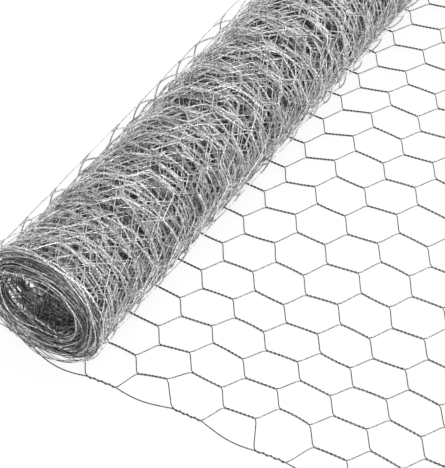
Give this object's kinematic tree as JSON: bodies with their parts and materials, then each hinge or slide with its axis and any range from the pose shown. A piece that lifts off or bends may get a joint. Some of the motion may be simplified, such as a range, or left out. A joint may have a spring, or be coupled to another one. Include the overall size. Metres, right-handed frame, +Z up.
{
  "type": "roll of chicken wire",
  "caption": "Roll of galvanised hexagonal wire netting lying on its side, hollow down the middle, with its loose end unrolled flat on the floor.",
  "frame": {"origin": "on the floor, below the middle of the roll and its unrolled length taken together", "axes": "+Y along the roll's axis, +X the way the netting unrolls, +Z up from the floor"},
  "size_m": [0.5658, 0.9112, 0.1535],
  "materials": {
    "galvanised_wire": "hot-dip galvanised wire, dull light grey"
  },
  "bodies": {
    "root": {"tight_turns": "galvanised_wire", "loose_lap": "galvanised_wire", "unrolled_length": "galvanised_wire"}
  },
  "joints": []
}
